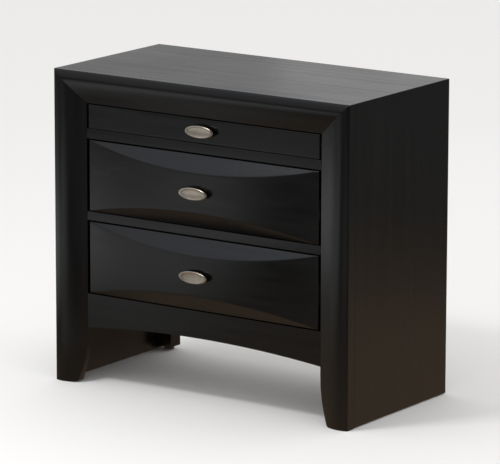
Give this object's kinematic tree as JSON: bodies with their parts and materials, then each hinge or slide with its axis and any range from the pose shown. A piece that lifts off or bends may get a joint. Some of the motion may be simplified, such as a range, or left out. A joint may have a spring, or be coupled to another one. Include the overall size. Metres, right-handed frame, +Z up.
{
  "type": "nightstand",
  "caption": "Black painted nightstand with a mitred crowned front frame, bow-front drawers under a slim drawer, oval metal knobs and an arched apron.",
  "frame": {"origin": "on the floor, at the middle of the footprint including the knobs", "axes": "+X to the right seen from the front, +Y to the back, +Z up; the drawers open towards -Y"},
  "size_m": [0.711, 0.3802, 0.644],
  "materials": {
    "black_paint": "satin black lacquer over fine open-pored veneer",
    "drawer_wood": "clear-sealed light hardwood",
    "back_board": "dark brown hardboard",
    "satin_nickel": "warm satin nickel, finely brushed",
    "zinc_steel": "zinc-plated steel",
    "glide_nylon": "black nylon"
  },
  "bodies": {
    "cabinet": {"top_panel": "black_paint", "left_side_panel": "black_paint", "right_side_panel": "black_paint", "frame_top_rail": "black_paint", "left_stile": "black_paint", "right_stile": "black_paint", "upper_divider_rail": "black_paint", "lower_divider_rail": "black_paint", "apron": "black_paint", "left_rear_leg": "black_paint", "right_rear_leg": "black_paint", "back_panel": "back_board", "floor_panel": "back_board", "left_rear_glide": "glide_nylon", "right_rear_glide": "glide_nylon", "left_corner_block": "drawer_wood", "right_corner_block": "drawer_wood", "slim_case_slide_left": "zinc_steel", "slim_left_cleat": "drawer_wood", "slim_case_slide_right": "zinc_steel", "slim_right_cleat": "drawer_wood", "middle_case_slide_left": "zinc_steel", "middle_left_cleat": "drawer_wood", "middle_case_slide_right": "zinc_steel", "middle_right_cleat": "drawer_wood", "lower_case_slide_left": "zinc_steel", "lower_left_cleat": "drawer_wood", "lower_case_slide_right": "zinc_steel", "lower_right_cleat": "drawer_wood"},
    "slim_drawer": {"slim_drawer_front": "black_paint", "slim_box_front": "drawer_wood", "slim_box_left_side": "drawer_wood", "slim_box_right_side": "drawer_wood", "slim_box_back": "drawer_wood", "slim_box_bottom": "drawer_wood", "slim_drawer_slide_left": "zinc_steel", "slim_drawer_slide_right": "zinc_steel", "slim_knob": "satin_nickel", "slim_knob_screw": "zinc_steel"},
    "middle_drawer": {"middle_drawer_front": "black_paint", "middle_box_front": "drawer_wood", "middle_box_left_side": "drawer_wood", "middle_box_right_side": "drawer_wood", "middle_box_back": "drawer_wood", "middle_box_bottom": "drawer_wood", "middle_drawer_slide_left": "zinc_steel", "middle_drawer_slide_right": "zinc_steel", "middle_knob": "satin_nickel", "middle_knob_screw": "zinc_steel"},
    "lower_drawer": {"lower_drawer_front": "black_paint", "lower_box_front": "drawer_wood", "lower_box_left_side": "drawer_wood", "lower_box_right_side": "drawer_wood", "lower_box_back": "drawer_wood", "lower_box_bottom": "drawer_wood", "lower_drawer_slide_left": "zinc_steel", "lower_drawer_slide_right": "zinc_steel", "lower_knob": "satin_nickel", "lower_knob_screw": "zinc_steel"}
  },
  "joints": [
    {"name": "slim_drawer_slide", "type": "slide", "parent": "cabinet", "child": "slim_drawer", "axis": [0, -1, 0], "range_m": [0, 0.225]},
    {"name": "middle_drawer_slide", "type": "slide", "parent": "cabinet", "child": "middle_drawer", "axis": [0, -1, 0], "range_m": [0, 0.225]},
    {"name": "lower_drawer_slide", "type": "slide", "parent": "cabinet", "child": "lower_drawer", "axis": [0, -1, 0], "range_m": [0, 0.225]}
  ]
}
